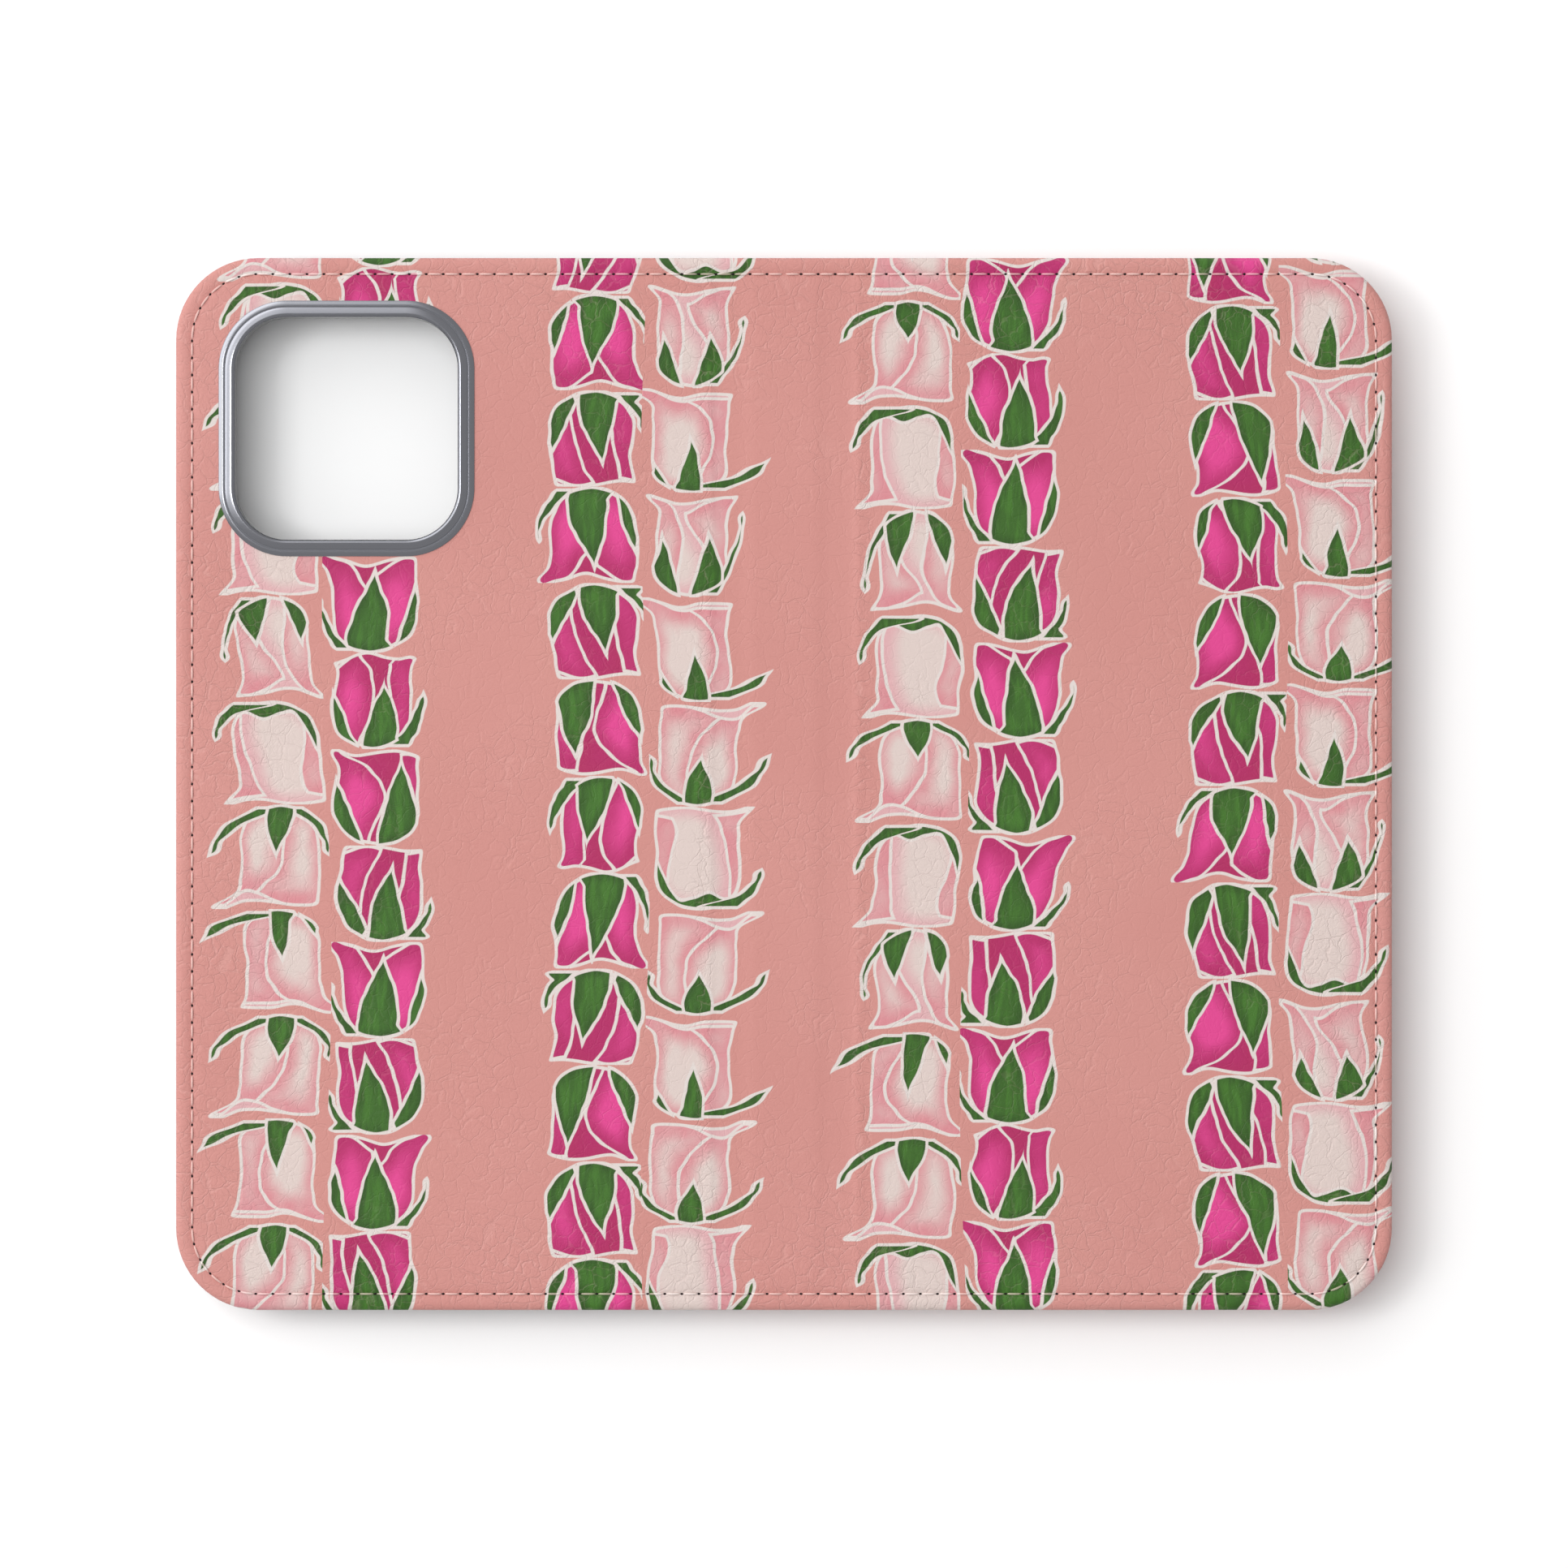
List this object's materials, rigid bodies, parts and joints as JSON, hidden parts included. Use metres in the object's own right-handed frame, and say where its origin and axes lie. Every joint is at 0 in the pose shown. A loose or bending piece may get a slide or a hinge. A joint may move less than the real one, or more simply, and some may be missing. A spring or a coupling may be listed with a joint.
{
  "type": "phone case",
  "caption": "Book-style wallet case for a phone, lying open and flat: printed leather cover with a folding spine, camera window, snap-in tray and card pockets.",
  "frame": {"origin": "middle of the open flat case in X and Y, on the plane of the tray rim that it lies on", "axes": "+X from the rear panel to the front cover, +Y to the top edge of the case, +Z out of the printed outer face"},
  "size_m": [0.178, 0.154, 0.0131],
  "materials": {
    "printed_leather": "smooth coated leather with fine grain and an all-over print of rosebud garlands",
    "stiffener_board": "grey-brown pressed fibre board",
    "lining": "thin matt imitation leather, plain",
    "pocket_leather": "thin matt imitation leather, plain, with turned mouths",
    "mounting_tape": "double-sided adhesive tape",
    "tray": "smoked polycarbonate, glossy",
    "bezel": "metallised gunmetal plastic, polished steps",
    "magnet": "nickel plated",
    "thread": "bonded thread, printed over together with the leather"
  },
  "bodies": {
    "back_panel": {"leather_back": "printed_leather", "board_back": "stiffener_board", "lining_back": "lining", "mounting_tape": "mounting_tape", "phone_tray": "tray", "camera_bezel": "bezel", "tray_magnets": "magnet", "seam_thread_back": "thread"},
    "spine": {"leather_spine": "printed_leather", "board_spine": "stiffener_board", "lining_spine": "lining", "seam_thread_spine": "thread"},
    "front_cover": {"leather_front": "printed_leather", "board_front": "stiffener_board", "lining_front": "lining", "cash_pocket": "pocket_leather", "card_pocket_rear": "pocket_leather", "card_pocket_middle": "pocket_leather", "card_pocket_front": "pocket_leather", "cover_magnets": "magnet", "seam_thread_front": "thread", "pocket_thread": "thread"}
  },
  "joints": [
    {"name": "spine_fold", "type": "hinge", "parent": "back_panel", "child": "spine", "pos_m": [-0.0078, 0, 0.0112], "axis": [0, 1, 0], "range_deg": [-90, 90]},
    {"name": "cover_fold", "type": "hinge", "parent": "spine", "child": "front_cover", "pos_m": [0.0078, 0, 0.0112], "axis": [0, 1, 0], "range_deg": [-90, 90]}
  ]
}
